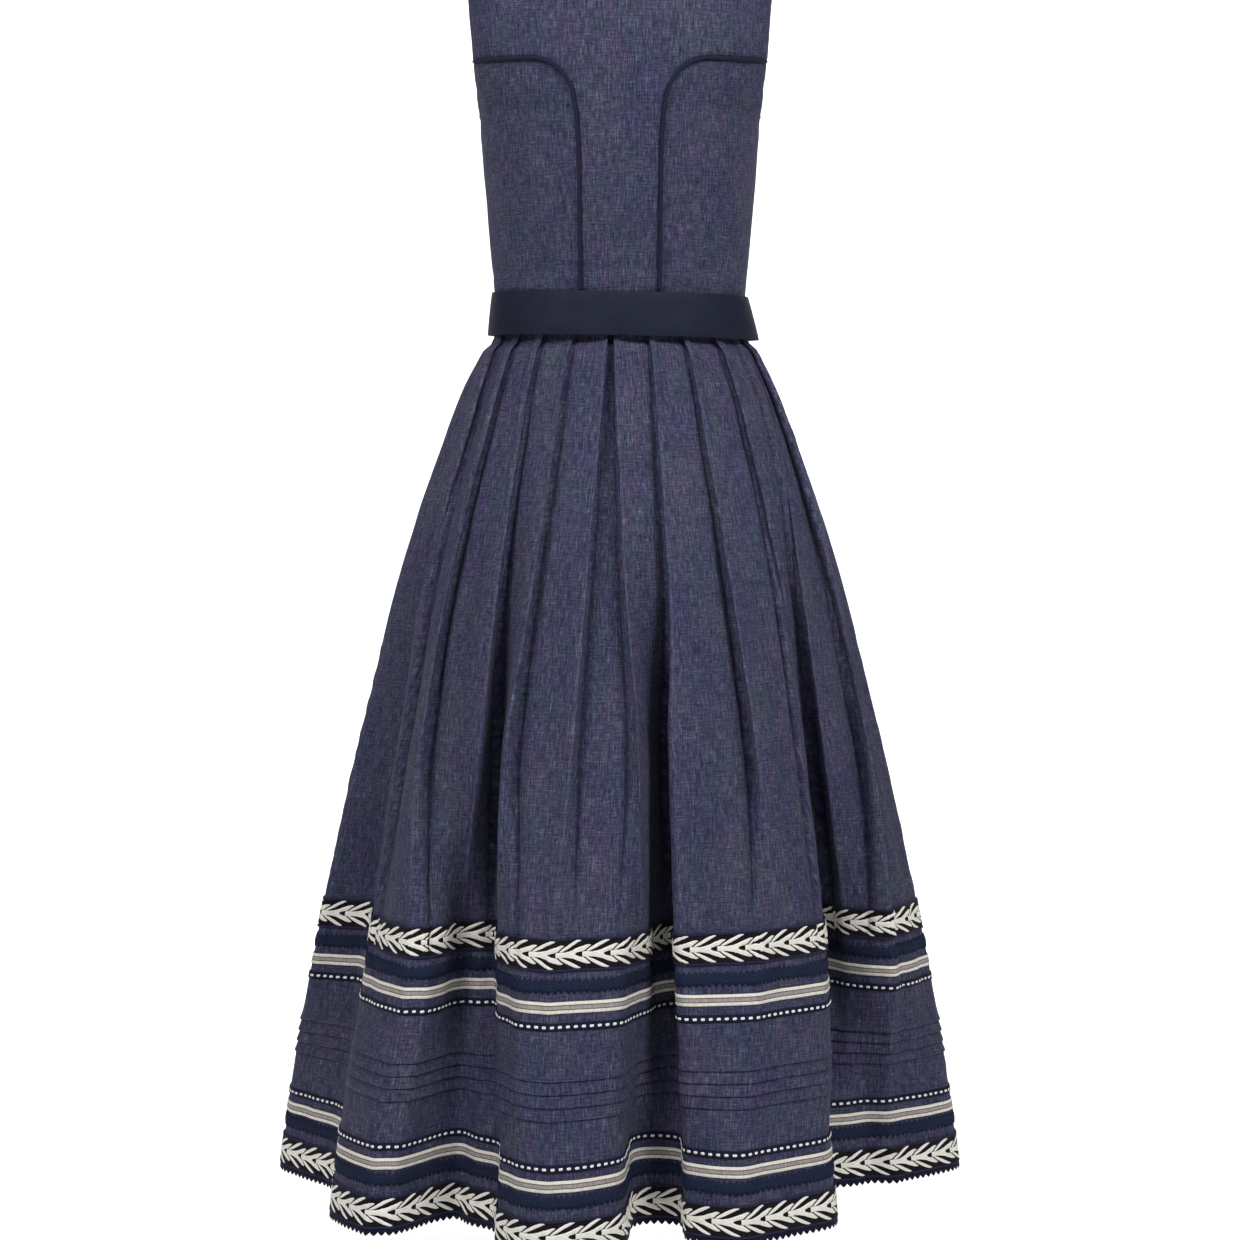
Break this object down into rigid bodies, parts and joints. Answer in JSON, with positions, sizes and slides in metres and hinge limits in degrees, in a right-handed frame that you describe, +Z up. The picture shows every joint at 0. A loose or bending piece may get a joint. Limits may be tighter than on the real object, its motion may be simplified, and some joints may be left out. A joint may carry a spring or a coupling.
{
  "type": "dirndl",
  "caption": "Sleeveless midi dirndl as worn: fitted bodice with piped back seams, plain belt, pleated skirt with woven braids, ribbons, pintucks and a picot hem.",
  "frame": {"origin": "midway between the two straps at shoulder height, where the wearer's shoulders carry the dress", "axes": "+Z up; the back of the dress faces -Y and its front +Y; +X is the wearer's right"},
  "size_m": [0.6685, 0.7031, 1.2227],
  "materials": {
    "linen": "matt slate-blue linen chambray",
    "belt": "smooth dark navy band",
    "piping": "dark navy bias piping",
    "braid": "woven black-brown braid with a cream vine",
    "velvet": "navy velvet-like band with toothed edges",
    "ribbon": "woven cream and taupe ribbon",
    "strip": "dark navy strip with white running stitches",
    "picot": "dark navy picot edging"
  },
  "bodies": {
    "root": {"bodice_back_centre": "linen", "bodice_back_side_left": "linen", "bodice_back_side_right": "linen", "bodice_front_left": "linen", "bodice_front_right": "linen", "bodice_front_side_left": "linen", "bodice_front_side_right": "linen", "piping_left": "piping", "piping_right": "piping", "belt": "belt", "skirt_back": "linen", "skirt_front": "linen", "braid_upper": "braid", "zigzag_upper": "velvet", "ribbon_upper": "ribbon", "strip_upper": "strip", "strip_lower": "strip", "ribbon_lower": "ribbon", "zigzag_lower": "velvet", "braid_lower": "braid", "picot_edging": "picot"}
  },
  "joints": []
}
